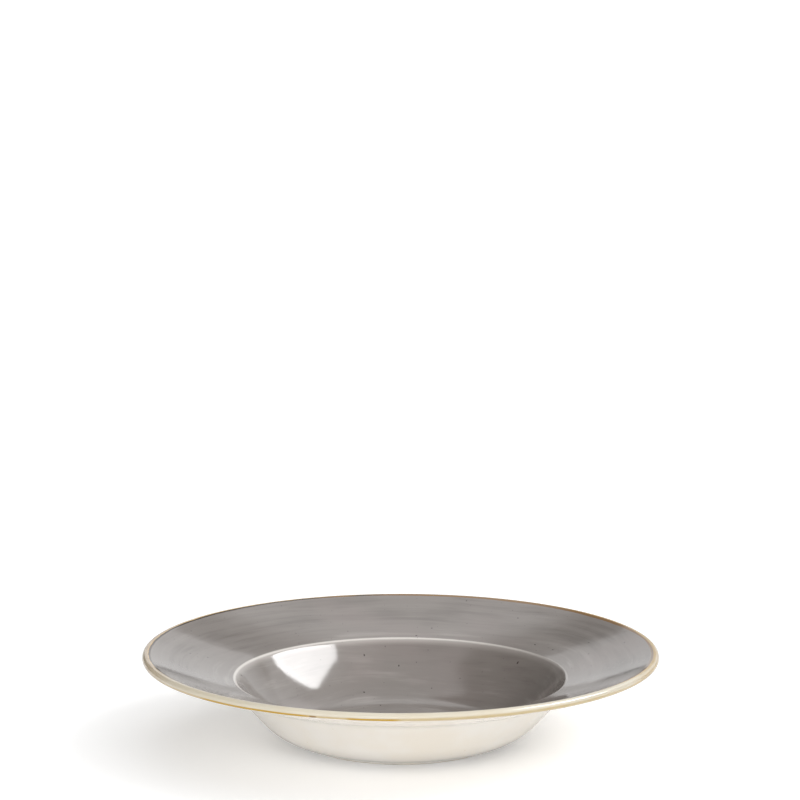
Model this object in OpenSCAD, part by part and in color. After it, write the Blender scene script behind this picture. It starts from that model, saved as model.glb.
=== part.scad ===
// Wide-rimmed pasta plate of glazed stoneware, in millimetres.
// The plate stands on its foot ring at z = 0 and turns about the Z axis.
// It is one fired clay body under six coats of glaze that butt edge to edge.
// All sizes are those of the finished, glazed plate.

/* [Overall] */
// Diameter over the lip
plate_d = 280; // [250:1:310]
// Height from the table to the top of the lip
plate_h = 50.5; // [46:0.5:56]
// Thickness of the full-round lip
lip_t = 4.5; // [3.5:0.1:5.5]

/* [Well] */
// Diameter of the corner where the flange turns down into the well
shoulder_d = 178.8; // [160:0.2:196]
// Height of that corner above the table
shoulder_h = 36; // [32:0.5:39]
// Radius that rounds the corner over
shoulder_r = 7; // [4:0.5:9]
// Height of the flat well floor above the table
floor_h = 6.2; // [5.6:0.1:7.6]
// Slope of the well wall above the horizontal, in degrees
wall_slope = 47.5; // [44:0.5:52]
// Radius that sweeps the floor up into the wall
floor_fillet_r = 36; // [28:1:42]

/* [Thickness] */
// Thickness of the well wall
wall_t = 4.8; // [4:0.1:5.4]
// Thickness of the flange where it leaves the shoulder
flange_t = 5.2; // [4.4:0.1:6]
// Radius under the shoulder, between the wall and the flange
under_fillet_r = 9; // [6:0.5:14]

/* [Foot ring] */
// Diameter of the foot ring at the table
foot_d = 102; // [96:0.5:112]
// Width of the foot ring at the table
foot_w = 4.6; // [4:0.1:6]
// Lean of both sides of the foot ring from the vertical, in degrees
foot_draft = 25; // [15:1:30]
// Height of the foot ring's outside, up to where it meets the underside
foot_h = 1.8; // [1.6:0.1:2.4]
// Slope at which the underside leaves the foot ring, in degrees above the horizontal
spring_slope = 8; // [0:1:14]
// Radius between the outside of the foot ring and the underside
foot_fillet_r = 2; // [1:0.1:2.2]
// Depth of the recess inside the foot ring
recess_h = 2; // [1.6:0.1:2.6]
// Radius between the recess and the inside of the foot ring
recess_fillet_r = 1.2; // [0.6:0.1:1.6]
// Radius on the two edges of the bare clay that stands on the table
bearing_r = 0.4; // [0.2:0.05:0.5]

/* [Glaze] */
// Thickness of every coat
glaze_t = 0.3; // [0.2:0.05:0.4]
// Height at which the glaze stops on the foot ring, leaving it bare below
glaze_stop_h = 0.5; // [0.4:0.05:0.7]
// Width of the cream that runs in from the round of the lip onto the flange
cream_w = 0.2; // [0.1:0.1:1.5]
// Width of the brown inner line, between the cream and the grey
inner_line_w = 1.8; // [1:0.1:3]
// Place round the lip where the golden outer line begins, in degrees below the outermost point
outer_line_start_a = 20; // [5:1:28]
// Place round the lip where the golden outer line ends, in degrees below the outermost point
outer_line_end_a = 36; // [30:1:60]

/* [Hidden] */

// Finest turn between two points of an arc, and segments of a full turn
arc_step_a = 5;
turn_segments = 180;

// Centre and radius of the full-round lip
lip_r = lip_t / 2;
lip_c = [plate_d / 2 - lip_r, plate_h - lip_r];

// Inside corners of the well, and the slope of the flange that meets the lip
shoulder_p = [shoulder_d / 2, shoulder_h];
floor_p = [shoulder_p[0] - (shoulder_h - floor_h) / tan(wall_slope), floor_h];
flange_slope = tangent_angle(shoulder_p, lip_c, lip_r, 1);

// Outside of the wall and underside of the flange, each a thickness below the face
wall_back_p = polar(shoulder_p, wall_t, wall_slope - 90);
flange_back_p = polar(shoulder_p, flange_t, flange_slope - 90);
under_p = crossing(flange_back_p, flange_slope, wall_back_p, wall_slope);
under_slope = tangent_angle(under_p, lip_c, lip_r, -1);

// Foot ring: its two sides at the table, the corner where the underside springs from it
foot_slope = 90 - foot_draft;
foot_out_p = [foot_d / 2, 0];
foot_in_p = [foot_d / 2 - foot_w, 0];
spring_p = polar(foot_out_p, foot_h / sin(foot_slope), foot_slope);
recess_p = [foot_in_p[0] - recess_h * tan(foot_draft), recess_h];

// Sweep of the underside up into the wall, even with the floor's, or as round as its run allows
sweep_p = crossing(spring_p, spring_slope, wall_back_p, wall_slope);
sweep_run = norm(sweep_p - spring_p) - foot_fillet_r * tan((foot_slope - spring_slope) / 2);
sweep_r = min(floor_fillet_r + wall_t, sweep_run / tan((wall_slope - spring_slope) / 2));

// Point at a distance and an angle from another
function polar(p, r, a) = [p[0] + r * cos(a), p[1] + r * sin(a)];

// Points along an arc, from one angle to the other
function arc(c, r, a0, a1) =
    let (n = max(1, ceil(abs(a1 - a0) / arc_step_a)))
    [for (i = [0:n]) polar(c, r, a0 + (a1 - a0) * i / n)];

// Points after the first, for a stretch that starts where the last one ended
function after_first(points) = [for (i = [1:len(points) - 1]) points[i]];

// Arc that rounds the corner between two directions of travel, seen a depth below the surface
function corner_arc(p, a0, a1, r, depth) =
    let (side = sign(a1 - a0))
    let (start = polar(p, -r * tan(abs(a1 - a0) / 2), a0))
    let (centre = polar(start, r, a0 + 90 * side))
    arc(centre, r - side * depth, a0 - 90 * side, a1 - 90 * side);

// Slope of the line from a point that just touches a circle, above it (1) or below it (-1)
function tangent_angle(p, c, r, side) =
    atan2(c[1] - p[1], c[0] - p[0]) + side * asin(r / norm(c - p));

// Point where a sloping line through p crosses another through q
function crossing(p, p_slope, q, q_slope) =
    let (gap = p - q)
    let (run = (gap[0] * sin(q_slope) - gap[1] * cos(q_slope)) / sin(p_slope - q_slope))
    polar(p, run, p_slope);

// Underside from where the glaze stops on the foot ring to the golden line, at a depth
function back_line(depth) = concat(
    [polar(polar(foot_out_p, glaze_stop_h / sin(foot_slope), foot_slope), depth, foot_slope + 90)],
    corner_arc(spring_p, foot_slope, spring_slope, foot_fillet_r, depth),
    after_first(corner_arc(sweep_p, spring_slope, wall_slope, sweep_r, depth)),
    corner_arc(under_p, wall_slope, under_slope, under_fillet_r, depth),
    lip_line(under_slope - 90, -outer_line_end_a, depth)
);

// Stretch of the lip between two places round it, at a depth
function lip_line(a0, a1, depth) = arc(lip_c, lip_r - depth, a0, a1);

// Golden line, low on the outside of the lip, at a depth
function golden_line(depth) = lip_line(-outer_line_end_a, -outer_line_start_a, depth);

// Point on the flange, some way in from the round of the lip, at a depth
function flange_point(run, depth) =
    polar(polar(lip_c, lip_r - depth, 90 + flange_slope), run, 180 + flange_slope);

// Cream from the golden line over the lip to the brown line, at a depth
function cream_line(depth) = concat(
    lip_line(-outer_line_start_a, 90 + flange_slope, depth),
    [flange_point(cream_w, depth)]
);

// Brown line from the cream to the grey, at a depth
function brown_line(depth) = [flange_point(cream_w, depth), flange_point(cream_w + inner_line_w, depth)];

// Grey face from the brown line to the centre of the floor, at a depth
function face_line(depth) = concat(
    [flange_point(cream_w + inner_line_w, depth)],
    corner_arc(shoulder_p, 180 + flange_slope, 180 + wall_slope, shoulder_r, depth),
    corner_arc(floor_p, 180 + wall_slope, 180, floor_fillet_r, depth),
    [[0, floor_h - depth]]
);

// Recess from its centre to where the glaze stops inside the foot ring, at a depth
function recess_line(depth) = concat(
    [[0, recess_h + depth]],
    corner_arc(recess_p, 0, -foot_slope, recess_fillet_r, depth),
    [polar(polar(foot_in_p, glaze_stop_h / sin(foot_slope), 180 - foot_slope), depth, foot_draft)]
);

// Bare clay round the bottom of the foot ring, a coat's thickness inside the glazed sides
function bearing_line() =
    let (side_t = glaze_t / cos(foot_draft))
    concat(
        corner_arc(foot_in_p + [side_t, 0], -foot_slope, 0, bearing_r, 0),
        corner_arc(foot_out_p - [side_t, 0], 0, foot_slope, bearing_r, 0)
    );

// Coat of glaze between a finished line and the clay under it
module coat(surface, clay) {
    rotate_extrude($fn = turn_segments)
        polygon(concat(surface, [for (i = [len(clay) - 1:-1:0]) clay[i]]));
}

module clay_body() {
    color("#e3ddd2")
        rotate_extrude($fn = turn_segments)
            polygon(concat(
                recess_line(glaze_t),
                bearing_line(),
                back_line(glaze_t),
                after_first(golden_line(glaze_t)),
                after_first(cream_line(glaze_t)),
                after_first(brown_line(glaze_t)),
                after_first(face_line(glaze_t))
            ));
}

module face_glaze() {
    color("#8d8782") coat(face_line(0), face_line(glaze_t));
}

module inner_line() {
    color("#8a6330") coat(brown_line(0), brown_line(glaze_t));
}

module lip_glaze() {
    color("#eadfc6") coat(cream_line(0), cream_line(glaze_t));
}

module outer_line() {
    color("#c9a552") coat(golden_line(0), golden_line(glaze_t));
}

module back_glaze() {
    color("#ebe3d8") coat(back_line(0), back_line(glaze_t));
}

module recess_glaze() {
    color("#ebe3d8") coat(recess_line(0), recess_line(glaze_t));
}

clay_body();
face_glaze();
inner_line();
lip_glaze();
outer_line();
back_glaze();
recess_glaze();
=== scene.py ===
import math

import bpy
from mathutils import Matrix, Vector, noise


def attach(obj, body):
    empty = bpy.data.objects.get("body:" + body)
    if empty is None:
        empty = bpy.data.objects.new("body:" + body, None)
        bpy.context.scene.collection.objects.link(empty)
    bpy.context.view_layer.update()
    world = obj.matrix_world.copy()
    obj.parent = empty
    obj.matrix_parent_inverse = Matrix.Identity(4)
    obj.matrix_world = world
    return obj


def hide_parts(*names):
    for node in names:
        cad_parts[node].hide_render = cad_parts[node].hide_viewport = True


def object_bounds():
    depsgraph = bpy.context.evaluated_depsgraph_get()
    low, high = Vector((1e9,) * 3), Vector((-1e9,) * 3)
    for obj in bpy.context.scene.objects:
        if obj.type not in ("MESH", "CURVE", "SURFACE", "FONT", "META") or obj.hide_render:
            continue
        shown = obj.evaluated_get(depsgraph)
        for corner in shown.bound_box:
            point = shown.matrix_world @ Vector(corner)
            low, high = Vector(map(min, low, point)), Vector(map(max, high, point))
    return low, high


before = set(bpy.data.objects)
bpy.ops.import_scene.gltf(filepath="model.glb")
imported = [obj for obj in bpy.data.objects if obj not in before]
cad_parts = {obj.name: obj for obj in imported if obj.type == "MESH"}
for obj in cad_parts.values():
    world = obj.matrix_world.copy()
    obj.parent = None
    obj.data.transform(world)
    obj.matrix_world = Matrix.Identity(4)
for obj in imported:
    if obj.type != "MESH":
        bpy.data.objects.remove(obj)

CAD_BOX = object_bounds()

# Lengths are in millimetres, as in the part's own drawing, and angles in degrees
MM = 0.001

# The whole plate and its full-round lip
PLATE_R = CAD_BOX[1].x / MM
PLATE_H = CAD_BOX[1].z / MM
LIP_T = 4.5

# The well: its corner, its floor, the sweep between floor and wall, and the wall's mean slope
SHOULDER_D = 178.8
SHOULDER_H = 36
SHOULDER_R = 4
FLOOR_H = 6.2
FLOOR_FILLET_R = 36
WALL_SLOPE = 47.5

# Bow of the wall: how much steeper it is above and shallower below, how far down it bends, and the radius
WALL_BOW = 4.8
WALL_BOW_RUN = 17
WALL_BOW_R = 108

# Dish of the flange: how much steeper it is outside and shallower inside, and the radius between
FLANGE_BOW = 2.6
FLANGE_BOW_R = 420

# Thickness of the wall and of the flange, and the radius under the shoulder
WALL_T = 4.8
FLANGE_T = 5.2
UNDER_FILLET_R = 9

# Foot ring and the recess inside it
FOOT_D = 102
FOOT_W = 4.6
FOOT_DRAFT = 25
FOOT_H = 1.8
SPRING_SLOPE = 8
FOOT_FILLET_R = 2
RECESS_H = 2
RECESS_FILLET_R = 1.2
BEARING_R = 0.4

# Glaze: its thickness, where it stops on the foot ring, and where its coats meet on the lip
GLAZE_T = 0.3
GLAZE_STOP_H = 0.5
CREAM_W = 0.2
INNER_LINE_W = 1.8
OUTER_LINE_START = 20
OUTER_LINE_END = 36

# Fineness of the meshes: steps of arcs and straight runs where glaze shows and where it hides the clay,
# steps of the arcs on the bare foot, and steps of the turn about Z
FINE_ARC = 1.5
FINE_RUN = 1.2
HIDDEN_ARC = 8
HIDDEN_RUN = 12
BARE_ARC = 6
TURN_STEPS = 360
SHARP_ANGLE = 32

# The shallow arcs of the flange and the wall take this many steps for one of the others
FLANGE_ARC_PARTS = 8
WALL_ARC_PARTS = 4

# Nearer than this to the axis, or to each other, points count as one
SAME_POINT = 1e-6

# Slow unevenness of the glazed surface, cut inward so that no point leaves the plate's true size: its
# depth, its run round the edge, how much shorter it is across, and how far from a coat's edge it is full
WAVE_DEPTH = 0.05
WAVE_RUN = 26
WAVE_ACROSS = 3
WAVE_FADE = 14

# The photograph: the pixel of a point on the plate's axis, that point's height, and the camera that saw it
IMAGE_SIDE = 800
CENTRE_PX = (400.57, 696.37)
CENTRE_H = 25
VIEW_ELEVATION = 14.04
VIEW_DISTANCE = 2800
FOCAL_PX = 5149.8
SENSOR = 36
CLIP_END = 100000


# Points and outlines of the section
def sin(a):
    """Sine of an angle in degrees."""
    return math.sin(math.radians(a))


def cos(a):
    """Cosine of an angle in degrees."""
    return math.cos(math.radians(a))


def tan(a):
    """Tangent of an angle in degrees."""
    return math.tan(math.radians(a))


def polar(p, r, a):
    """Point at a distance and an angle from another."""
    return (p[0] + r * cos(a), p[1] + r * sin(a))


def arc(c, r, a0, a1, step):
    """Points along an arc, no further apart than a step in degrees."""
    n = max(1, math.ceil(abs(a1 - a0) / step))
    return [polar(c, r, a0 + (a1 - a0) * i / n) for i in range(n + 1)]


def corner_arc(p, a0, a1, r, depth, step):
    """Arc that rounds the corner between two directions of travel, a depth below the surface."""
    side = 1 if a1 > a0 else -1
    start = polar(p, -r * tan(abs(a1 - a0) / 2), a0)
    centre = polar(start, r, a0 + 90 * side)
    return arc(centre, r - side * depth, a0 - 90 * side, a1 - 90 * side, step)


def tangent_angle(p, c, r, side):
    """Slope of the line from a point that just touches a circle, above it (1) or below it (-1)."""
    rise = math.atan2(c[1] - p[1], c[0] - p[0])
    return math.degrees(rise + side * math.asin(r / math.dist(p, c)))


def crossing(p, p_slope, q, q_slope):
    """Point where a sloping line through p crosses another through q."""
    gap = (p[0] - q[0], p[1] - q[1])
    run = (gap[0] * sin(q_slope) - gap[1] * cos(q_slope)) / sin(p_slope - q_slope)
    return polar(p, run, p_slope)


def filled(points, run):
    """The same line with its straight stretches divided into steps no longer than run."""
    line = [points[0]]
    for a, b in zip(points, points[1:]):
        gap = math.dist(a, b)
        if gap < SAME_POINT:
            continue
        n = max(1, math.ceil(gap / run))
        line += [(a[0] + (b[0] - a[0]) * i / n, a[1] + (b[1] - a[1]) * i / n) for i in range(1, n + 1)]
    return line


# Lip, and the flange's slope, which just touches it
LIP_R = LIP_T / 2
LIP_C = (PLATE_R - LIP_R, PLATE_H - LIP_R)
SHOULDER_P = (SHOULDER_D / 2, SHOULDER_H)
FLANGE_SLOPE = tangent_angle(SHOULDER_P, LIP_C, LIP_R, 1)
ROUND_START = 90 + FLANGE_SLOPE
ROUND_P = polar(LIP_C, LIP_R, ROUND_START)

# Corners of the face: where the dished flange, the bowed wall and the floor would meet unrounded
GREY_START_P = polar(ROUND_P, CREAM_W + INNER_LINE_W, 180 + FLANGE_SLOPE)
DISH_P = crossing(GREY_START_P, FLANGE_SLOPE + FLANGE_BOW, SHOULDER_P, FLANGE_SLOPE - FLANGE_BOW)
BOW_P = polar(SHOULDER_P, WALL_BOW_RUN, 180 + WALL_SLOPE + WALL_BOW)
FLOOR_P = crossing(BOW_P, WALL_SLOPE - WALL_BOW, (0, FLOOR_H), 0)

# Corners of the underside, each a thickness below the face
WALL_BACK_P = polar(SHOULDER_P, WALL_T, WALL_SLOPE - 90)
FLANGE_BACK_P = polar(SHOULDER_P, FLANGE_T, FLANGE_SLOPE - 90)
UNDER_P = crossing(FLANGE_BACK_P, FLANGE_SLOPE, WALL_BACK_P, WALL_SLOPE)
UNDER_SLOPE = tangent_angle(UNDER_P, LIP_C, LIP_R, -1)

# Corners of the foot ring, and where the glaze stops on it
FOOT_SLOPE = 90 - FOOT_DRAFT
FOOT_OUT_P = (FOOT_D / 2, 0)
FOOT_IN_P = (FOOT_D / 2 - FOOT_W, 0)
SPRING_P = polar(FOOT_OUT_P, FOOT_H / sin(FOOT_SLOPE), FOOT_SLOPE)
RECESS_P = (FOOT_IN_P[0] - RECESS_H * tan(FOOT_DRAFT), RECESS_H)
STOP_RUN = GLAZE_STOP_H / sin(FOOT_SLOPE)

# Sweep of the underside up into the wall, even with the floor's, or as round as its run allows
SWEEP_P = crossing(SPRING_P, SPRING_SLOPE, WALL_BACK_P, WALL_SLOPE)
SWEEP_RUN = math.dist(SWEEP_P, SPRING_P) - FOOT_FILLET_R * tan((FOOT_SLOPE - SPRING_SLOPE) / 2)
SWEEP_R = min(FLOOR_FILLET_R + WALL_T, SWEEP_RUN / tan((WALL_SLOPE - SPRING_SLOPE) / 2))


def lip_line(a0, a1, depth, step):
    """Stretch of the round lip."""
    return arc(LIP_C, LIP_R - depth, a0, a1, step)


def flange_point(run, depth):
    """Point on the flange, some way in from the round of the lip."""
    return polar(polar(LIP_C, LIP_R - depth, ROUND_START), run, 180 + FLANGE_SLOPE)


def golden_line(depth, step):
    """Low on the outside of the lip."""
    return lip_line(-OUTER_LINE_END, -OUTER_LINE_START, depth, step)


def cream_line(depth, step):
    """From the golden line over the lip to the brown line."""
    return lip_line(-OUTER_LINE_START, ROUND_START, depth, step) + [flange_point(CREAM_W, depth)]


def brown_line(depth, step):
    """From the cream to the grey."""
    return [flange_point(CREAM_W, depth), flange_point(CREAM_W + INNER_LINE_W, depth)]


def face_line(depth, step):
    """Grey face from the brown line to the centre of the floor."""
    flange_out, flange_in = 180 + FLANGE_SLOPE + FLANGE_BOW, 180 + FLANGE_SLOPE - FLANGE_BOW
    wall_top, wall_foot = 180 + WALL_SLOPE + WALL_BOW, 180 + WALL_SLOPE - WALL_BOW
    return (
        [flange_point(CREAM_W + INNER_LINE_W, depth)]
        + corner_arc(DISH_P, flange_out, flange_in, FLANGE_BOW_R, depth, step / FLANGE_ARC_PARTS)
        + corner_arc(SHOULDER_P, flange_in, wall_top, SHOULDER_R, depth, step)
        + corner_arc(BOW_P, wall_top, wall_foot, WALL_BOW_R, depth, step / WALL_ARC_PARTS)
        + corner_arc(FLOOR_P, wall_foot, 180, FLOOR_FILLET_R, depth, step)
        + [(0, FLOOR_H - depth)]
    )


def back_line(depth, step):
    """Underside from where the glaze stops on the foot ring to the golden line."""
    return (
        [polar(polar(FOOT_OUT_P, STOP_RUN, FOOT_SLOPE), depth, FOOT_SLOPE + 90)]
        + corner_arc(SPRING_P, FOOT_SLOPE, SPRING_SLOPE, FOOT_FILLET_R, depth, step)
        + corner_arc(SWEEP_P, SPRING_SLOPE, WALL_SLOPE, SWEEP_R, depth, step)
        + corner_arc(UNDER_P, WALL_SLOPE, UNDER_SLOPE, UNDER_FILLET_R, depth, step)
        + lip_line(UNDER_SLOPE - 90, -OUTER_LINE_END, depth, step)
    )


def recess_line(depth, step):
    """Recess from its centre to where the glaze stops inside the foot ring."""
    return (
        [(0, RECESS_H + depth)]
        + corner_arc(RECESS_P, 0, -FOOT_SLOPE, RECESS_FILLET_R, depth, step)
        + [polar(polar(FOOT_IN_P, STOP_RUN, 180 - FOOT_SLOPE), depth, FOOT_DRAFT)]
    )


def bearing_line(step):
    """Bare clay round the bottom of the foot ring."""
    side_t = GLAZE_T / cos(FOOT_DRAFT)
    inner = corner_arc((FOOT_IN_P[0] + side_t, 0), -FOOT_SLOPE, 0, BEARING_R, 0, step)
    outer = corner_arc((FOOT_OUT_P[0] - side_t, 0), 0, FOOT_SLOPE, BEARING_R, 0, step)
    return inner + outer


# Meshes
def wave_depth(r, turn):
    """How far the glaze lies inside its nominal surface, from nothing to WAVE_DEPTH."""
    p = Vector((cos(turn) * PLATE_R, sin(turn) * PLATE_R, r * WAVE_ACROSS)) / WAVE_RUN
    return WAVE_DEPTH * min(1, max(0, 0.5 + 0.5 * noise.noise(p)))


def ramp(t):
    """Smooth step from 0 to 1."""
    t = min(1, max(0, t))
    return t * t * (3 - 2 * t)


def line_fades(line):
    """Share of the unevenness at each point of a visible line: none at its ends, but full on the axis."""
    along = [0]
    for a, b in zip(line, line[1:]):
        along.append(along[-1] + math.dist(a, b))
    starts_on_axis = line[0][0] < SAME_POINT
    ends_on_axis = line[-1][0] < SAME_POINT
    fades = []
    for s in along:
        from_start = math.inf if starts_on_axis else s
        from_end = math.inf if ends_on_axis else along[-1] - s
        fades.append(ramp(min(from_start, from_end) / WAVE_FADE))
    return fades


def line_normals(line):
    """Unit normals of a visible line, out of the clay, which lies on its left."""
    normals = []
    for i in range(len(line)):
        a, b = line[max(0, i - 1)], line[min(len(line) - 1, i + 1)]
        gap = math.dist(a, b)
        normals.append(((b[1] - a[1]) / gap, -(b[0] - a[0]) / gap))
    return normals


def band(a, b):
    """Faces between two neighbouring rings, each of which may be a single point on the axis."""
    n = max(len(a), len(b))
    if len(a) == 1 and len(b) == 1:
        return []
    if len(a) == 1:
        return [(a[0], b[(j + 1) % n], b[j]) for j in range(n)]
    if len(b) == 1:
        return [(a[j], a[(j + 1) % n], b[0]) for j in range(n)]
    return [(a[j], a[(j + 1) % n], b[(j + 1) % n], b[j]) for j in range(n)]


def revolved(name, visible, hidden):
    """Closed smooth mesh turned about Z from a visible line and the hidden line under it."""
    fades = line_fades(visible) + [0] * len(hidden)
    normals = line_normals(visible) + [(0, 0)] * len(hidden)
    turns = [360 * j / TURN_STEPS for j in range(TURN_STEPS)]
    verts, rings = [], []
    for (r, z), fade, normal in zip(visible + hidden[::-1], fades, normals):
        if r < SAME_POINT:
            rings.append([len(verts)])
            verts.append((0, 0, z * MM))
            continue
        rings.append(list(range(len(verts), len(verts) + TURN_STEPS)))
        for turn in turns:
            depth = fade * wave_depth(r, turn)
            out_r = (r - depth * normal[0]) * MM
            out_z = (z - depth * normal[1]) * MM
            verts.append((out_r * cos(turn), out_r * sin(turn), out_z))
    faces = [face for a, b in zip(rings, rings[1:] + rings[:1]) for face in band(a, b)]
    mesh = bpy.data.meshes.new(name)
    mesh.from_pydata(verts, [], faces)
    mesh.polygons.foreach_set("use_smooth", [True] * len(mesh.polygons))
    mesh.set_sharp_from_angle(angle=math.radians(SHARP_ANGLE))
    piece = bpy.data.objects.new(name, mesh)
    bpy.context.scene.collection.objects.link(piece)
    return piece


def coat(name, line):
    """Coat of glaze between a finished line and the clay under it."""
    visible = filled(line(0, FINE_ARC), FINE_RUN)
    hidden = filled(line(GLAZE_T, HIDDEN_ARC), HIDDEN_RUN)
    return revolved(name, visible, hidden)


def clay(name):
    """The whole casting: the bare foot is fine, and what the glaze hides is coarser."""
    visible = filled(bearing_line(BARE_ARC), FINE_RUN)
    covered = []
    for line in (back_line, golden_line, cream_line, brown_line, face_line):
        covered += line(GLAZE_T, HIDDEN_ARC)
    hidden = filled(covered, HIDDEN_RUN) + filled(recess_line(GLAZE_T, HIDDEN_ARC), HIDDEN_RUN)
    return revolved(name, visible, hidden[::-1])


# Materials
class Nodes:
    """Builds one node tree with short calls. All but add and put return the new node's output."""

    def __init__(self, tree):
        self.tree = tree
        tree.nodes.clear()

    def add(self, kind, links=(), **values):
        """New node itself, with sockets linked or set, and its own settings."""
        node = self.tree.nodes.new(kind)
        for key, value in values.items():
            setattr(node, key, value)
        for key, value in dict(links).items():
            self.put(node.inputs[key], value)
        return node

    def put(self, socket, value):
        """Link a socket to another one, or set it to a value."""
        if isinstance(value, bpy.types.NodeSocket):
            self.tree.links.new(value, socket)
        else:
            socket.default_value = value

    def math(self, operation, a, b=0.0, c=0.0):
        return self.add("ShaderNodeMath", {0: a, 1: b, 2: c}, operation=operation).outputs[0]

    def plus(self, a, b):
        return self.math("ADD", a, b)

    def minus(self, a, b):
        return self.math("SUBTRACT", a, b)

    def times(self, a, b):
        return self.math("MULTIPLY", a, b)

    def over(self, a, b):
        return self.math("DIVIDE", a, b)

    def times_plus(self, a, b, c):
        return self.math("MULTIPLY_ADD", a, b, c)

    def larger(self, a, b):
        return self.math("MAXIMUM", a, b)

    def unsigned(self, a):
        return self.math("ABSOLUTE", a)

    def reach(self, a, b):
        """Length of the line with these two sides."""
        return self.math("SQRT", self.times_plus(a, a, self.times(b, b)))

    def step(self, value, low, high):
        """Smooth step from 0 at low to 1 at high."""
        links = {0: value, 1: low, 2: high, 3: 0.0, 4: 1.0}
        return self.add("ShaderNodeMapRange", links, interpolation_type="SMOOTHSTEP").outputs[0]

    def scaled(self, value, low, high):
        """A 0 to 1 value set between two others."""
        return self.times_plus(value, high - low, low)

    def either_way(self, value, reach):
        """A 0 to 1 value set between minus a reach and plus it."""
        return self.scaled(value, -reach, reach)

    def mix(self, share, a, b):
        """Colour a, with a share of b over it."""
        return self.add("ShaderNodeMix", {0: share, 6: a, 7: b}, data_type="RGBA").outputs[2]

    def join(self, x, y, z):
        return self.add("ShaderNodeCombineXYZ", {0: x, 1: y, 2: z}).outputs[0]

    def split(self, vector):
        return self.add("ShaderNodeSeparateXYZ", {0: vector}).outputs

    def vector(self, operation, a, b):
        return self.add("ShaderNodeVectorMath", {0: a, 1: b}, operation=operation).outputs[0]

    def dot(self, a, b):
        return self.add("ShaderNodeVectorMath", {0: a, 1: b}, operation="DOT_PRODUCT").outputs["Value"]

    def noise(self, vector, scale=1.0, detail=2.0, rough=0.5):
        links = {"Vector": vector, "Scale": scale, "Detail": detail, "Roughness": rough}
        return self.add("ShaderNodeTexNoise", links, noise_dimensions="3D").outputs[0]


# How much a millimetre of height counts as way along the section, so that the wall's streaks aren't crowded
WAY_PER_HEIGHT = 0.45

# Inside this radius streaks grow no shorter towards the middle
MIDDLE_R = 60

# The brush didn't follow the wheel all the way: how far streaks drift off their circle, and over what run
BEND = 34
BEND_RUN = 120


class Place:
    """Where a point of the plate is: its radius, height and turn about Z, and its way along the section."""

    def __init__(self, nodes):
        coord = nodes.add("ShaderNodeTexCoord").outputs["Object"]
        self.p = nodes.vector("MULTIPLY", coord, (1 / MM,) * 3)
        self.x, self.y, self.z = nodes.split(self.p)
        self.r = nodes.reach(self.x, self.y)
        middle = nodes.larger(self.r, MIDDLE_R)
        self.cos = nodes.over(self.x, middle)
        self.sin = nodes.over(self.y, middle)
        self.turn = nodes.math("ARCTAN2", self.y, self.x)
        self.way = nodes.times_plus(self.z, WAY_PER_HEIGHT, self.r)
        self.bent = nodes.times_plus(nodes.noise(self.p, 1 / BEND_RUN, 1.0), BEND, self.way)


def streaks(nodes, place, way, around, across, seed, detail=2.0):
    """Noise drawn out round the plate: how short a streak is, and how many lie across a millimetre."""
    x = nodes.times(place.cos, around)
    y = nodes.times(place.sin, around)
    return nodes.noise(nodes.join(x, y, nodes.times_plus(way, across, seed)), 1.0, detail)


def round_noise(nodes, place, around, seed, detail=2.0):
    """Noise that changes only round the plate."""
    x = nodes.times(place.cos, around)
    y = nodes.times(place.sin, around)
    return nodes.noise(nodes.join(x, y, seed), 1.0, detail)


def side_share(nodes, place, turn, low, high):
    """1 round the plate near one turn, 0 past it: low and high are cosines of the angle from that turn."""
    near = nodes.math("COSINE", nodes.minus(place.turn, math.radians(turn)))
    return nodes.step(near, low, high)


def stretch(nodes, place, turn, full, gone):
    """1 within some degrees of a turn round the plate and 0 past some more."""
    return side_share(nodes, place, turn, cos(gone), cos(full))


# Outline of a speck: the noise that bends it, how much it does, and where its soft edge starts and ends
BLUR_SCALE = 1.1
BLUR_REACH = 0.5
SPECK_EDGE = (-0.08, 0.12)


def specks(nodes, place, cell, share, low, high, seed):
    """1 inside scattered specks: a share of the cells hold one, from low to high in radius."""
    blur = nodes.add("ShaderNodeTexNoise", {"Vector": place.p, "Scale": BLUR_SCALE, "Detail": 2.0})
    wobble = nodes.vector("MULTIPLY", blur.outputs[1], (BLUR_REACH,) * 3)
    moved = nodes.vector("ADD", nodes.vector("ADD", place.p, wobble), (seed, seed, 0))
    links = {"Vector": moved, "Scale": 1 / cell}
    cells = nodes.add("ShaderNodeTexVoronoi", links, voronoi_dimensions="2D").outputs
    away = nodes.times(cells["Distance"], cell)
    pick = nodes.add("ShaderNodeSeparateColor", {0: cells["Color"]}).outputs
    radius = nodes.scaled(pick[1], low, high)
    here = nodes.math("LESS_THAN", pick[0], share)
    return nodes.times(nodes.step(nodes.minus(radius, away), *SPECK_EDGE), here)


# Colours of the glazes and the clay, linear
GREY = (0.208, 0.186, 0.170, 1)
GREY_DARK = (0.152, 0.134, 0.121, 1)
GREY_LIGHT = (0.300, 0.274, 0.254, 1)
GREY_WARM = (0.240, 0.203, 0.190, 1)
# The pale glaze break over the well's corner, lightened further as a painted highlight
GREY_BREAK_HIGHLIGHT = (0.66, 0.62, 0.58, 1)
SPECK = (0.022, 0.016, 0.012, 1)
BROWN = (0.040, 0.022, 0.011, 1)
BURNT = (0.23, 0.120, 0.034, 1)
OCHRE = (0.50, 0.31, 0.10, 1)
PALE_OCHRE = (0.62, 0.49, 0.30, 1)
LIP_CREAM = (0.62, 0.57, 0.465, 1)
GOLD = (0.46, 0.275, 0.030, 1)
TAN = (0.49, 0.375, 0.185, 1)
# Tan with painted shade for the lip's two ends, the second one more golden, for the right end
LIP_END_TAN_SHADE = (0.40, 0.295, 0.185, 1)
RIGHT_END_TAN_SHADE = (0.41, 0.26, 0.070, 1)
BACK_CREAM = (0.90, 0.865, 0.81, 1)
CLAY = (0.74, 0.69, 0.61, 1)
CLAY_GREY = (0.52, 0.48, 0.42, 1)

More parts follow.
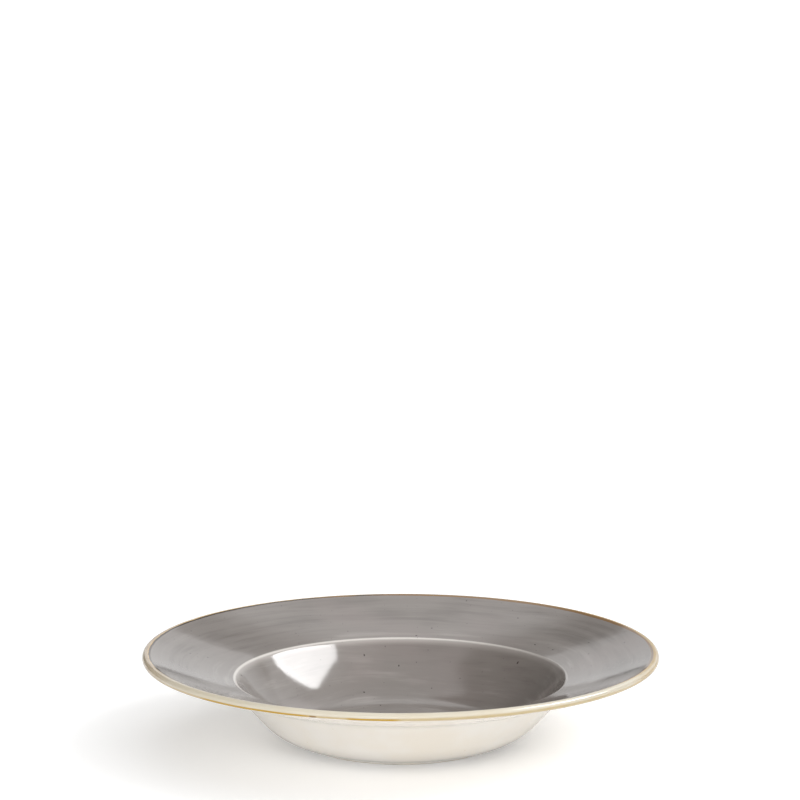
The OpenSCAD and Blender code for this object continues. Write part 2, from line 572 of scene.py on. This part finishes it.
# The brushed grey is built up as a tone, 0 where it is plain: where it is darkest or lightest either way
TONE_REACH = 0.8

# Soft clouds in the tone and in the warmth of the grey: their run, where the warm ones start and are full,
# and how strong each kind is
CLOUD_RUN = 42
CLOUD_TONE = 0.65
BLUSH_RUN = 60
BLUSH_EDGE = (0.50, 0.72)
BLUSH_SHARE = 0.45

# Layers of brush marks: whether they drift off their circle, how short a mark is, how many lie in a
# millimetre, a number that sets the layer apart, its detail, and its tone
BRUSH_LAYERS = {
    "broad": (False, 0.8, 0.075, 3.1, 2.0, 0.50),
    "bands": (False, 1.5, 0.24, 17.3, 2.0, 0.32),
    "arcs": (True, 2.6, 0.20, 41.7, 3.0, 0.62),
    "fine": (True, 3.0, 1.1, 73.9, 2.0, 0.24),
}

# The grey is darker outside the middle of the flange, and lighter near its line and on the floor: the
# radius where each band starts, where it is full, and its tone
TONE_BANDS = {
    "outer flange": (104, 114, -0.30),
    "near the line": (125, 132, 0.22),
    "floor": (46, 26, 0.15),
}

# Specks and freckles: the cell that may hold one, the share that do, the least and the greatest radius, and
# a number that sets the pattern apart; then how strong they are
SPECKS = (9.5, 0.12, 0.26, 0.54, 11.0)
SMALL_SPECKS = (6.0, 0.20, 0.15, 0.30, 57.0)
SMALL_SPECK_SHARE = 0.7
SPECK_SHARE = 0.85
FRECKLES = (7.0, 0.10, 0.10, 0.30, 29.0)
FRECKLE_SHARE = 0.35


def grey_color(nodes, place):
    """Brushed grey with its swirl and specks, its pale break over the well's corner with a painted
    highlight on it, and the height of its fine brush marks.
    """
    clouds = nodes.noise(place.p, 1 / CLOUD_RUN, 3.0)
    tone = nodes.either_way(clouds, CLOUD_TONE)
    marks = {}
    for name, (drifts, around, across, seed, detail, depth) in BRUSH_LAYERS.items():
        way = place.bent if drifts else place.way
        marks[name] = streaks(nodes, place, way, around, across, seed, detail)
        tone = nodes.plus(tone, nodes.either_way(marks[name], depth))
    tone = nodes.plus(tone, tone_bands(nodes, place))
    tone = nodes.plus(tone, swirl(nodes, place))
    color = nodes.mix(nodes.step(tone, -TONE_REACH, 0.0), GREY_DARK, GREY)
    color = nodes.mix(nodes.step(tone, 0.0, TONE_REACH), color, GREY_LIGHT)
    blush = nodes.step(nodes.noise(place.p, 1 / BLUSH_RUN, 2.0), *BLUSH_EDGE)
    color = nodes.mix(nodes.times(blush, BLUSH_SHARE), color, GREY_WARM)
    # The pale glaze break over the well's corner, with its painted highlight
    color = nodes.mix(shoulder_break_and_highlight(nodes, place), color, GREY_BREAK_HIGHLIGHT)
    small = nodes.times(specks(nodes, place, *SMALL_SPECKS), SMALL_SPECK_SHARE)
    dots = nodes.larger(specks(nodes, place, *SPECKS), small)
    return nodes.mix(nodes.times(dots, SPECK_SHARE), color, SPECK), marks["fine"]


def tone_bands(nodes, place):
    """Tone of the wide rings where the grey is darker or lighter."""
    tone = 0.0
    for start, full, depth in TONE_BANDS.values():
        tone = nodes.times_plus(nodes.step(place.r, start, full), depth, tone)
    return tone


# The brush's swirl in the middle of the floor: its centre, the gap between its lines, the radius where
# they fade in and are full, how much they waver, and their tone
SWIRL_X = -1.3
SWIRL_Y = 2.1
SWIRL_PITCH = 3.1
SWIRL_EDGE = (40, 4)
WAVER_SCALE = 0.09
WAVER = 9.0
SWIRL_TONE = 0.10

# The comma where the brush was lifted: how far back it is turned, its bend per millimetre, how ragged it
# is, how much of a turn it takes up, the radii where it fades in from outside and inside, and its tone
COMMA_TURN = 112
COMMA_BEND = -0.035
RAGGED_SCALE = 0.35
RAGGED = 0.9
COMMA_PART = 0.34
COMMA_OUTER = (30, 10)
COMMA_INNER = (0.8, 4.5)
COMMA_TONE = -0.60

# The pale eye in the middle of the swirl: the radius where it fades in and is full, and its tone
EYE_EDGE = (2.6, 0.6)
EYE_TONE = 0.7


def swirl(nodes, place):
    """Tone of the spiral lines about the brush's centre, the comma on them and the eye in the middle."""
    x = nodes.minus(place.x, SWIRL_X)
    y = nodes.minus(place.y, SWIRL_Y)
    flat = nodes.join(x, y, 0.0)
    r = nodes.reach(x, y)
    turn = nodes.math("ARCTAN2", y, x)
    comma = comma_share(nodes, flat, r, turn)
    lines = spiral_lines(nodes, flat, r, turn)
    tone = nodes.times_plus(lines, SWIRL_TONE, nodes.times(comma, COMMA_TONE))
    return nodes.times_plus(nodes.step(r, *EYE_EDGE), EYE_TONE, tone)


def spiral_lines(nodes, flat, r, turn):
    """Lines that wind out from the middle, from -1 to 1."""
    phase = nodes.times_plus(r, 2 * math.pi / SWIRL_PITCH, turn)
    phase = nodes.times_plus(nodes.noise(flat, WAVER_SCALE, 2.0), WAVER, phase)
    return nodes.times(nodes.math("SINE", phase), nodes.step(r, *SWIRL_EDGE))


def comma_share(nodes, flat, r, turn):
    """1 inside the comma, with one sharp side and one that fades."""
    bend = nodes.times_plus(r, COMMA_BEND, nodes.plus(turn, math.radians(COMMA_TURN)))
    ragged = nodes.times_plus(nodes.noise(flat, RAGGED_SCALE, 3.0), RAGGED, bend)
    part = nodes.math("FRACT", nodes.over(ragged, 2 * math.pi))
    comma = nodes.times(nodes.step(part, COMMA_PART, 0.0), nodes.step(r, *COMMA_OUTER))
    return nodes.times(comma, nodes.step(r, *COMMA_INNER))


# The pale break of the glaze round the corner of the well, with a painted highlight laid over it: the
# radius of its line, the half widths between which it wanders, the streaks that it wanders by, and its
# edges as parts of the half width
BREAK_R = SHOULDER_P[0] + 0.7
BREAK_W = (0.6, 1.7)
BREAK_STREAKS = (3.0, 0.05, 131.0)
BREAK_EDGE = (1.0, 0.2)

# How pale it is, least and most, and the turn and the cosines of the side where the painted highlight makes
# it palest
BREAK_SHARE = (0.22, 0.58)
HIGHLIGHT_TURN = 135
HIGHLIGHT_SIDE = (-0.5, 0.7)

# The faint skirt inside it, pale glaze and painted highlight both: where it fades in and out, counted from
# the line, and its share of the line's
SKIRT_INNER = (-3.4, -0.8)
SKIRT_OUTER = (1.0, 0.0)
SKIRT_SHARE = 0.6


def shoulder_break_and_highlight(nodes, place):
    """Share of the pale glaze, thin over the corner of the well, with a painted highlight strongest on one
    side: a crisp line, and a skirt inside it.
    """
    width = nodes.scaled(streaks(nodes, place, place.way, *BREAK_STREAKS), *BREAK_W)
    pale_and_lit = nodes.scaled(side_share(nodes, place, HIGHLIGHT_TURN, *HIGHLIGHT_SIDE), *BREAK_SHARE)
    off = nodes.minus(place.r, BREAK_R)
    line = nodes.step(nodes.over(nodes.unsigned(off), width), *BREAK_EDGE)
    skirt = nodes.times(nodes.step(off, *SKIRT_INNER), nodes.step(off, *SKIRT_OUTER))
    return nodes.times_plus(skirt, nodes.times(pale_and_lit, SKIRT_SHARE), nodes.times(line, pale_and_lit))


def round_way(nodes, place):
    """Way over the round of the lip in millimetres, from 0 where it meets the flange."""
    out = nodes.minus(place.r, LIP_C[0])
    up = nodes.minus(place.z, LIP_C[1])
    turned = nodes.minus(math.radians(ROUND_START), nodes.math("ARCTAN2", up, out))
    return nodes.times(nodes.larger(turned, 0.0), LIP_R)


def flange_way(nodes, place):
    """Way out to the round of the lip in millimetres, below 0 on the flange."""
    short = nodes.math("MINIMUM", nodes.minus(place.r, ROUND_P[0]), 0.0)
    return nodes.over(short, cos(FLANGE_SLOPE))


# The brown line on the lip: how far out from the round of the lip its middle lies, how far it sways and the
# turn where it lies furthest out, and the noises that move it, with a number that sets each apart and its
# reach
LINE_CENTRE = -1.35
LINE_SWAY = 0.85
LINE_SWAY_TURN = 110
LINE_NOISES = ((6.0, 5.0, 0.45), (60.0, 9.0, 0.16))

# Its inner edge, and how much further in that lies on the burnt side and at the plate's right end
LINE_EDGE = (-0.85, -0.35)
BURNT_EDGE_SHIFT = 0.8
END_EDGE_SHIFT = -0.5

# The side where it is burnt to a light brown, and the stretch at the plate's right end, with how far each
# moves it outward. A stretch is the turn at its middle, and how far either way it is full and is gone
BURNT_TURN = 5
BURNT_SIDE = (-0.55, 0.35)
BURNT_SHIFT = 0.4
END_STRETCH = (-5, 14, 38)
END_SHIFT = 0.8

# Burnt patches of it: their noise, how much likelier they are on the burnt side, their edges, how much of
# the brown they cover, and from where to where out from the line's middle they come to cover all of it
PATCH_NOISE = (5.0, 21.0, 3.0)
PATCH_SIDE = 0.20
PATCH_EDGE = (0.36, 0.60)
PATCH_SHARE = 0.8
PATCH_OUTER = (0.10, 0.50)

# Its ochre run: the noise in its width and how much that counts, the width without it where the line is
# plain and where it is burnt, and where along it each colour comes in, the one outside it last
RUN_NOISE = (14.0, 33.0, 3.0)
RUN_NOISE_W = 0.8
RUN_W = (0.38, 0.95)
OCHRE_EDGE = (0.35, 0.80)
PALE_OCHRE_EDGE = (0.75, 1.25)
RUN_END = (1.1, 1.9)


def line_centre(nodes, place, burnt_side, end):
    """Way at which the middle of the brown line lies, as it sways and wanders round the plate."""
    sway = nodes.math("COSINE", nodes.minus(place.turn, math.radians(LINE_SWAY_TURN)))
    centre = nodes.times_plus(sway, LINE_SWAY, LINE_CENTRE)
    for around, seed, reach in LINE_NOISES:
        centre = nodes.plus(centre, nodes.either_way(round_noise(nodes, place, around, seed), reach))
    centre = nodes.times_plus(burnt_side, BURNT_SHIFT, centre)
    return nodes.times_plus(end, END_SHIFT, centre)


def lined(nodes, place, way, inside, outside):
    """Colours across the lip: inside the brown line, the line itself, its ochre run, and outside it."""
    burnt_side = side_share(nodes, place, BURNT_TURN, *BURNT_SIDE)
    end = stretch(nodes, place, *END_STRETCH)
    off = nodes.minus(way, line_centre(nodes, place, burnt_side, end))
    patches = nodes.plus(nodes.either_way(burnt_side, PATCH_SIDE), round_noise(nodes, place, *PATCH_NOISE))
    burnt = nodes.step(patches, *PATCH_EDGE)
    line_color = nodes.mix(nodes.times(burnt, PATCH_SHARE), BROWN, BURNT)
    run = nodes.times(round_noise(nodes, place, *RUN_NOISE), RUN_NOISE_W)
    along = nodes.over(off, nodes.plus(run, nodes.scaled(burnt, *RUN_W)))
    edge = nodes.times_plus(burnt_side, BURNT_EDGE_SHIFT, nodes.times_plus(end, END_EDGE_SHIFT, off))
    color = nodes.mix(nodes.step(edge, *LINE_EDGE), inside, line_color)
    color = nodes.mix(nodes.times(nodes.step(off, *PATCH_OUTER), burnt), color, BURNT)
    color = nodes.mix(nodes.step(along, *OCHRE_EDGE), color, OCHRE)
    color = nodes.mix(nodes.step(along, *PALE_OCHRE_EDGE), color, PALE_OCHRE)
    return nodes.mix(nodes.step(along, *RUN_END), color, outside)


# The golden line, by its way over the round of the lip: its middle, the noise that moves it and how far,
# and how far either way it is gone and is full
GOLD_CENTRE = math.radians(ROUND_START + (OUTER_LINE_START + OUTER_LINE_END) / 2) * LIP_R
GOLD_NOISE = (4.0, 45.0)
GOLD_WANDER = 0.3
GOLD_EDGE = (0.95, 0.45)

# Stretches where it is full, its share at the plate's two ends, and its share elsewhere on the thin side
GOLD_STRETCHES = ((236, 12, 17), (264, 4, 7))
GOLD_END_SHARE = 0.8
GOLD_FAINT_SHARE = 0.38

# Burnt spots on it: their noise and where that makes one, one more as a stretch, their edges across the
# line, and their share
SPOT_NOISE = (34.0, 77.0, 1.0)
SPOT_NOISE_EDGE = (0.74, 0.80)
SPOT_STRETCH = (251, 0.4, 1.0)
SPOT_ACROSS = (0.75, 0.40)
SPOT_SHARE = 0.85

# The tan glow about it: where it is wide, its half width and its share on the thin side and on the wide
# one, the noise that clouds it and between which shares, and its edges as parts of the half width
TAN_TURN = 310
TAN_SIDE = (0.55, 0.95)
TAN_W = (0.90, 1.80)
TAN_SHARE = (0.40, 0.95)
TAN_NOISE = (9.0, 61.0, 3.0)
TAN_NOISE_SHARE = (0.55, 1.25)
TAN_EDGE = (1.0, 0.30)

# Tan over the lip at the plate's two ends, where it is seen edge-on: partly the golden line crowded there,
# partly
# painted shade that is weaker over the upper round of the lip. Where it starts and is full by the cosine of
# the turn:
# its noise and between which shares, the stretch over the lip where it is weaker and how much, where it
# stops on the underside, and where from left to right it turns more golden
END_TAN_SHADE_REACH = (0.86, 0.985)
END_TAN_SHADE_NOISE = (12.0, 91.0, 3.0)
END_TAN_SHADE_SHARE = (0.45, 1.3)
END_TAN_SHADE_TOP_EDGE = (0.3, 1.2)
END_TAN_SHADE_TOP_SHARE = 0.45
END_TAN_SHADE_STOP = (GOLD_CENTRE + 1.7, GOLD_CENTRE)
END_TAN_SHADE_SIDES = (-0.5, 0.5)


def end_tan_and_shade(nodes, place, way, ends, color):
    """Uneven tan with painted shade over the lip at the plate's left and right ends, more golden at the
    right.
    """
    tan_and_shade = nodes.scaled(round_noise(nodes, place, *END_TAN_SHADE_NOISE), *END_TAN_SHADE_SHARE)
    off_top = nodes.step(nodes.unsigned(nodes.minus(way, LIP_R)), *END_TAN_SHADE_TOP_EDGE)
    tan_and_shade = nodes.times(tan_and_shade, nodes.scaled(off_top, END_TAN_SHADE_TOP_SHARE, 1.0))
    tan_and_shade = nodes.times(tan_and_shade, nodes.step(way, *END_TAN_SHADE_STOP))
    tan_shade_color = nodes.mix(nodes.step(place.cos, *END_TAN_SHADE_SIDES), LIP_END_TAN_SHADE, RIGHT_END_TAN_SHADE)
    return nodes.mix(nodes.times(ends, tan_and_shade), color, tan_shade_color)


def tan_glow(nodes, place, off, wide):
    """Share of the tan about the golden line."""
    cloud = nodes.scaled(round_noise(nodes, place, *TAN_NOISE), *TAN_NOISE_SHARE)
    glow = nodes.step(nodes.over(off, nodes.scaled(wide, *TAN_W)), *TAN_EDGE)
    return nodes.times(glow, nodes.times(cloud, nodes.scaled(wide, *TAN_SHARE)))


def gilded(nodes, place, way, color):
    """Golden line low on the outside of the lip: thin and broken on one side, a wide tan run on another."""
    # At the lip's two ends, seen edge-on: tan and painted shade, and a stronger golden line in burnt colour
    ends = nodes.step(nodes.unsigned(place.cos), *END_TAN_SHADE_REACH)
    color = end_tan_and_shade(nodes, place, way, ends, color)
    wander = nodes.either_way(round_noise(nodes, place, *GOLD_NOISE), GOLD_WANDER)
    off = nodes.unsigned(nodes.minus(way, nodes.plus(wander, GOLD_CENTRE)))
    wide = side_share(nodes, place, TAN_TURN, *TAN_SIDE)
    color = nodes.mix(tan_glow(nodes, place, off, wide), color, TAN)
    strong = nodes.times(ends, GOLD_END_SHARE)
    for gold_stretch in GOLD_STRETCHES:
        strong = nodes.larger(stretch(nodes, place, *gold_stretch), strong)
    strong = nodes.larger(strong, nodes.scaled(wide, GOLD_FAINT_SHARE, 0.0))
    core = nodes.times(nodes.step(off, *GOLD_EDGE), strong)
    color = nodes.mix(core, color, nodes.mix(ends, GOLD, BURNT))
    spots = nodes.step(round_noise(nodes, place, *SPOT_NOISE), *SPOT_NOISE_EDGE)
    spots = nodes.larger(spots, stretch(nodes, place, *SPOT_STRETCH))
    spots = nodes.times(spots, nodes.step(off, *SPOT_ACROSS))
    return nodes.mix(nodes.times(spots, SPOT_SHARE), color, BURNT)


# Faint warm clouds in the cream, and how much of its red, green and blue is left in them
WARM_SCALE = 0.035
WARM_EDGE = (0.35, 0.7)
WARM_LEFT = (0.98, 0.955, 0.91, 1)


def cream_color(nodes, place, cream):
    """Cream with faint warm clouds and a few pale tan freckles."""
    warm = tuple(value * left for value, left in zip(cream, WARM_LEFT))
    clouds = nodes.step(nodes.noise(place.p, WARM_SCALE, 3.0), *WARM_EDGE)
    color = nodes.mix(clouds, cream, warm)
    freckles = nodes.times(specks(nodes, place, *FRECKLES), FRECKLE_SHARE)
    return nodes.mix(freckles, color, TAN)


# Gloss: the index of refraction, how rough each glaze is, and how high its relief is
GLAZE_IOR = 1.55
GREY_ROUGH = (0.07, 0.13)
LIP_ROUGH = 0.09
BACK_ROUGH = 0.10
GREY_RELIEF = 0.05
CREAM_RELIEF = 0.015

# The relief itself: a slow orange peel, fine pits in it, and the brush marks in the grey
PEEL_SCALE = 0.12
PIT_SCALE = 0.9
PIT_SHARE = 0.05
MARK_SHARE = 0.04


def glaze_relief(nodes, place):
    """Height of the slight orange peel of fired glaze, 0 to 1."""
    peel = nodes.noise(place.p, PEEL_SCALE, 1.0)
    pits = nodes.noise(place.p, PIT_SCALE, 1.0)
    return nodes.times_plus(pits, PIT_SHARE, peel)


def finish_surface(nodes, color, roughness, relief, relief_h):
    """Surface with its colour, gloss and fine relief, written to the material's output."""
    shader = nodes.add("ShaderNodeBsdfPrincipled", {"Base Color": color, "Roughness": roughness})
    shader.inputs["IOR"].default_value = GLAZE_IOR
    bump = nodes.add("ShaderNodeBump", {"Height": relief, "Strength": 1.0, "Distance": relief_h * MM})
    nodes.put(shader.inputs["Normal"], bump.outputs[0])
    output = nodes.add("ShaderNodeOutputMaterial")
    nodes.put(output.inputs["Surface"], shader.outputs[0])


def new_material(name):
    """Empty material, its nodes, and the place on the plate as its nodes know it."""
    material = bpy.data.materials.new(name)
    material.use_nodes = True
    nodes = Nodes(material.node_tree)
    return material, nodes, Place(nodes)


def grey_material():
    """Grey of the face, with what the brown line's colours do near its edge."""
    material, nodes, place = new_material("grey_glaze")
    grey, marks = grey_color(nodes, place)
    color = lined(nodes, place, flange_way(nodes, place), grey, LIP_CREAM)
    relief = nodes.times_plus(marks, MARK_SHARE, glaze_relief(nodes, place))
    finish_surface(nodes, color, nodes.scaled(marks, *GREY_ROUGH), relief, GREY_RELIEF)
    return material


def brown_material():
    """The brown line, between plain grey and cream."""
    material, nodes, place = new_material("brown_line")
    color = lined(nodes, place, flange_way(nodes, place), GREY, LIP_CREAM)
    finish_surface(nodes, color, LIP_ROUGH, glaze_relief(nodes, place), CREAM_RELIEF)
    return material


def cream_material():
    """Cream over the lip, between the brown line and the golden one."""
    material, nodes, place = new_material("lip_cream")
    cream = cream_color(nodes, place, LIP_CREAM)
    way = nodes.plus(round_way(nodes, place), flange_way(nodes, place))
    color = gilded(nodes, place, way, lined(nodes, place, way, cream, cream))
    finish_surface(nodes, color, LIP_ROUGH, glaze_relief(nodes, place), CREAM_RELIEF)
    return material


def gilded_material(name, cream, roughness):
    """Cream below or beside the golden line, with the line's colours on it."""
    material, nodes, place = new_material(name)
    color = gilded(nodes, place, round_way(nodes, place), cream_color(nodes, place, cream))
    finish_surface(nodes, color, roughness, glaze_relief(nodes, place), CREAM_RELIEF)
    return material


def gold_material():
    """The golden line, on the lip's cream."""
    return gilded_material("gold_line", LIP_CREAM, LIP_ROUGH)


def back_material():
    """Cream of the underside and of the recess inside the foot ring."""
    return gilded_material("back_cream", BACK_CREAM, BACK_ROUGH)


# Bare clay: its grain and where that shows grey, the rub marks and how grey they are, and its finish
GRAIN_SCALE = 5.0
GRAIN_EDGE = (0.62, 0.75)
RUB_SCALE = 0.12
RUB_EDGE = (0.45, 0.7)
RUB_SHARE = 0.45
CLAY_ROUGH = (0.65, 0.85)
CLAY_RELIEF = 0.12


def clay_material():
    """Bare fired clay: matte, with grain and grey rub marks from standing on tables."""
    material, nodes, place = new_material("bare_clay")
    grain = nodes.noise(place.p, GRAIN_SCALE, 4.0, 0.7)
    rubbed = nodes.step(nodes.noise(place.p, RUB_SCALE, 3.0), *RUB_EDGE)
    color = nodes.mix(nodes.times(rubbed, RUB_SHARE), CLAY, CLAY_GREY)
    color = nodes.mix(nodes.step(grain, *GRAIN_EDGE), color, CLAY_GREY)
    finish_surface(nodes, color, nodes.scaled(grain, *CLAY_ROUGH), grain, CLAY_RELIEF)
    return material


# The floor: its side, its white, how much the camera sees it lifted, and the share of that in reflections
FLOOR_SIDE = 14000
FLOOR_WHITE = 0.95
FLOOR_GLOW = 0.19
GLOSS_SHARE = 0.2


def floor_material():
    """White floor that keeps the object's shadow: the camera and reflections see it a little lifted."""
    material = bpy.data.materials.new("white_floor")
    material.use_nodes = True
    nodes = Nodes(material.node_tree)
    matte = nodes.add("ShaderNodeBsdfDiffuse", {"Color": (FLOOR_WHITE,) * 3 + (1,)})
    rays = nodes.add("ShaderNodeLightPath").outputs
    seen = nodes.larger(rays["Is Camera Ray"], rays["Is Transmission Ray"])
    seen = nodes.larger(seen, nodes.times(rays["Is Glossy Ray"], GLOSS_SHARE))
    strength = nodes.times(seen, FLOOR_GLOW)
    glow = nodes.add("ShaderNodeEmission", {"Color": (1, 1, 1, 1), "Strength": strength})
    both = nodes.add("ShaderNodeAddShader", {0: matte.outputs[0], 1: glow.outputs[0]})
    output = nodes.add("ShaderNodeOutputMaterial")
    nodes.put(output.inputs["Surface"], both.outputs[0])
    return material


def make_floor():
    """Wide flat floor under the plate."""
    half = FLOOR_SIDE / 2 * MM
    corners = [(-half, -half, 0), (half, -half, 0), (half, half, 0), (-half, half, 0)]
    mesh = bpy.data.meshes.new("floor")
    mesh.from_pydata(corners, [], [(0, 1, 2, 3)])
    mesh.materials.append(floor_material())
    floor = bpy.data.objects.new("floor", mesh)
    bpy.context.scene.collection.objects.link(floor)


# The studio's softboxes, in degrees: the turns of the left and right side, counted from straight behind
# the plate towards its right, the elevations of foot and top, how soft those four edges are, and the white
STUDIO = {
    "panel behind": (-13, 50, 4.4, 26.3, 1.5, 12, 0.3, 0.5, 0.98),
    "bright side of the panel": (4, 54, 4.4, 38, 9, 9, 0.3, 4, 0.13),
    "skirt of the panel": (-75, 100, -4, 3.3, 8, 8, 0.3, 0.3, 0.52),
    "band over the panel": (-14, 100, 26.3, 38, 3, 12, 0.5, 4, 0.31),
    "right of the band": (17, 66, 26, 39, 3, 6, 1.5, 4, 1.05),
    "ceiling behind": (-14, 100, 38, 61, 3, 12, 4, 5, 1.22),
    "ceiling above": (-200, 200, 61, 100, 3, 3, 5, 5, 1.06),
    "ceiling at the right": (85, 155, 26, 61, 8, 8, 4, 5, 0.50),
    "front wall": (100, 250, 26, 61, 8, 8, 2, 5, 0.78),
    "left fill": (-190, -130, -4, 26, 8, 8, 0.3, 2, 2.9),
    "right fill": (100, 170, 4.8, 26, 8, 8, 0.3, 2, 2.0),
    "left side": (-130, -74, -4, 26, 8, 8, 0.3, 2, 0.8),
}

# The key softbox, on a plane that faces the plate one unit away: the turn and elevation of that plane, the
# softbox's two sides, foot and top on it, how far they slant, its rounded corners and its soft edge
KEY_TURN = 90
KEY_ELEVATION = 45
KEY_SIDES = (-0.378, 0.26)
KEY_FOOT_TOP = (-0.24, 0.172)
KEY_SIDE_SLANT = 0.30
KEY_TOP_SLANT = 0.10
KEY_CORNER = 0.11
KEY_SOFT = 0.03

# Its white in mirror rays, the share of that in all others, and how far round from its middle, by the
# cosine, a direction can still meet its plane
KEY_WHITE = 12.3
KEY_SPREAD = 0.24
KEY_FRONT = 0.1


def direction(turn, elevation):
    """Unit vector to a place in the studio: turn 0 is behind the plate and 90 to its right."""
    return Vector((sin(turn) * cos(elevation), cos(turn) * cos(elevation), sin(elevation)))


def key_share(nodes, sky):
    """1 where the sky direction lies in the key softbox, a slanted rectangle with rounded corners."""
    face = direction(KEY_TURN, KEY_ELEVATION)
    across = direction(KEY_TURN + 90, 0)
    rise = across.cross(face)
    facing = nodes.dot(sky, face)
    # Kept above 0, so that what lies behind the plane divides cleanly before it is ruled out
    front = nodes.larger(facing, KEY_FRONT / 2)
    axes = (across - KEY_SIDE_SLANT * rise, rise - KEY_TOP_SLANT * across)
    outside = []
    for axis, (low, high) in zip(axes, (KEY_SIDES, KEY_FOOT_TOP)):
        off = nodes.unsigned(nodes.minus(nodes.over(nodes.dot(sky, axis), front), (low + high) / 2))
        outside.append(nodes.larger(nodes.minus(off, (high - low) / 2 - KEY_CORNER), 0.0))
    inside = nodes.step(nodes.reach(*outside), KEY_CORNER + KEY_SOFT / 2, KEY_CORNER - KEY_SOFT / 2)
    return nodes.times(inside, nodes.math("GREATER_THAN", facing, KEY_FRONT))


def softbox_light(nodes, turn, rise, box):
    """White of one softbox where the sky direction lies inside it, with soft edges."""
    left, right, foot, top, soft_left, soft_right, soft_foot, soft_top, white = box
    off = nodes.math("WRAP", nodes.minus(turn, (left + right) / 2), 180.0, -180.0)
    reach = (right - left) / 2
    light = nodes.times(white, nodes.step(off, -reach - soft_left, -reach + soft_left))
    light = nodes.times(light, nodes.step(off, reach + soft_right, reach - soft_right))
    light = nodes.times(light, nodes.step(rise, foot - soft_foot, foot + soft_foot))
    return nodes.times(light, nodes.step(rise, top + soft_top, top - soft_top))


def make_world():
    """The studio: softboxes all round, and the key softbox, which is the brightest in reflections."""
    world = bpy.data.worlds.new("studio")
    bpy.context.scene.world = world
    world.use_nodes = True
    nodes = Nodes(world.node_tree)
    sky = nodes.add("ShaderNodeTexCoord").outputs["Generated"]
    x, y, z = nodes.split(sky)
    turn = nodes.times(nodes.math("ARCTAN2", x, y), math.degrees(1))
    rise = nodes.times(nodes.math("ARCSINE", z), math.degrees(1))
    light = 0.0
    for box in STUDIO.values():
        light = nodes.plus(softbox_light(nodes, turn, rise, box), light)
    rays = nodes.add("ShaderNodeLightPath").outputs
    key_white = nodes.times(nodes.scaled(rays["Is Glossy Ray"], KEY_SPREAD, 1.0), KEY_WHITE)
    light = nodes.times_plus(key_share(nodes, sky), key_white, light)
    strength = nodes.larger(light, rays["Is Camera Ray"])
    shader = nodes.add("ShaderNodeBackground", {"Color": (1, 1, 1, 1), "Strength": strength})
    output = nodes.add("ShaderNodeOutputWorld")
    nodes.put(output.inputs["Surface"], shader.outputs[0])


def make_camera():
    """Level camera without shift that puts a point on the plate's axis on its pixel of the photograph."""
    data = bpy.data.cameras.new("camera")
    data.sensor_width = SENSOR
    data.lens = FOCAL_PX / IMAGE_SIDE * SENSOR
    data.clip_end = CLIP_END * MM
    camera = bpy.data.objects.new("camera", data)
    to_plate = direction(0, -VIEW_ELEVATION)
    camera.location = Vector((0, 0, CENTRE_H * MM)) - to_plate * (VIEW_DISTANCE * MM)
    aside = math.atan((CENTRE_PX[0] - IMAGE_SIDE / 2) / FOCAL_PX)
    below = math.atan((CENTRE_PX[1] - IMAGE_SIDE / 2) / FOCAL_PX)
    camera.rotation_euler = (math.radians(90 - VIEW_ELEVATION) + below, 0, aside)
    bpy.context.scene.collection.objects.link(camera)
    bpy.context.scene.camera = camera


# The coats of glaze: piece, node of the part that it replaces, its line, its material and the slot of that
COATS = (
    ("grey_face_coat", "face_glaze", face_line, grey_material, "grey_glaze"),
    ("brown_line_coat", "inner_line", brown_line, brown_material, "brown_line"),
    ("cream_lip_coat", "lip_glaze", cream_line, cream_material, "lip_cream"),
    ("golden_line_coat", "outer_line", golden_line, gold_material, "gold_line"),
    ("cream_back_coat", "back_glaze", back_line, back_material, "back_cream"),
    ("cream_recess_coat", "recess_glaze", recess_line, back_material, "back_cream"),
)


def finish_piece(piece, node, material):
    """Dress a piece, and let it replace a node of the part."""
    piece.data.materials.append(material)
    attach(piece, "root")
    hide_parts(node)


def make_plate():
    """The clay casting and its coats of glaze."""
    finish_piece(clay("clay_casting"), "clay_body", clay_material())
    for name, node, line, material, slot in COATS:
        finish_piece(coat(name, line), node, material())


make_camera()
make_floor()
make_world()
make_plate()
bpy.context.scene.view_settings.view_transform = "Standard"
